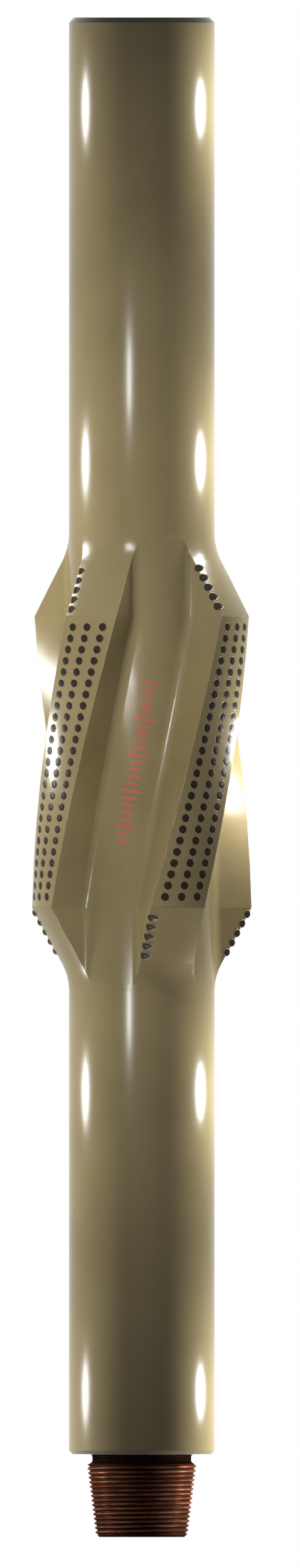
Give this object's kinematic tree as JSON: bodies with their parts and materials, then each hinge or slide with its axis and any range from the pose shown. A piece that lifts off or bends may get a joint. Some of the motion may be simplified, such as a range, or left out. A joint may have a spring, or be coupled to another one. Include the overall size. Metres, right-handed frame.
{
  "type": "fixed blade reamer",
  "caption": "Solid steel drill-string reamer: spiral blades with brazed diamond cutters on both tapers and flush carbide gauge inserts, threaded box above, threaded pin below.",
  "frame": {"origin": "on the tool's axis, in the plane of the pin's shoulder", "axes": "+Z along the axis from the pin towards the box; -Y is the front that the picture shows"},
  "size_m": [0.306, 0.306, 2.1195],
  "materials": {
    "body_paint": "gloss olive bronze paint, copper-coloured anti-gall coat on the pin thread",
    "gauge_carbide": "ground, dark purplish brown",
    "cutter_carbide": "ground grey",
    "diamond": "lapped black"
  },
  "bodies": {
    "root": {"gauge_inserts_leading_blade_1": "gauge_carbide", "gauge_inserts_leading_blade_2": "gauge_carbide", "gauge_inserts_leading_blade_3": "gauge_carbide", "gauge_inserts_leading_blade_4": "gauge_carbide", "gauge_inserts_middle_blade_1": "gauge_carbide", "gauge_inserts_middle_blade_2": "gauge_carbide", "gauge_inserts_middle_blade_3": "gauge_carbide", "gauge_inserts_middle_blade_4": "gauge_carbide", "gauge_inserts_trailing_blade_1": "gauge_carbide", "gauge_inserts_trailing_blade_2": "gauge_carbide", "gauge_inserts_trailing_blade_3": "gauge_carbide", "gauge_inserts_trailing_blade_4": "gauge_carbide", "lower_cutter_substrates_blade_1": "cutter_carbide", "lower_cutter_substrates_blade_2": "cutter_carbide", "lower_cutter_substrates_blade_3": "cutter_carbide", "lower_cutter_substrates_blade_4": "cutter_carbide", "lower_diamond_tables_blade_1": "diamond", "lower_diamond_tables_blade_2": "diamond", "lower_diamond_tables_blade_3": "diamond", "lower_diamond_tables_blade_4": "diamond", "reamer_body": "body_paint", "upper_cutter_substrates_blade_1": "cutter_carbide", "upper_cutter_substrates_blade_2": "cutter_carbide", "upper_cutter_substrates_blade_3": "cutter_carbide", "upper_cutter_substrates_blade_4": "cutter_carbide", "upper_diamond_tables_blade_1": "diamond", "upper_diamond_tables_blade_2": "diamond", "upper_diamond_tables_blade_3": "diamond", "upper_diamond_tables_blade_4": "diamond"}
  },
  "joints": []
}
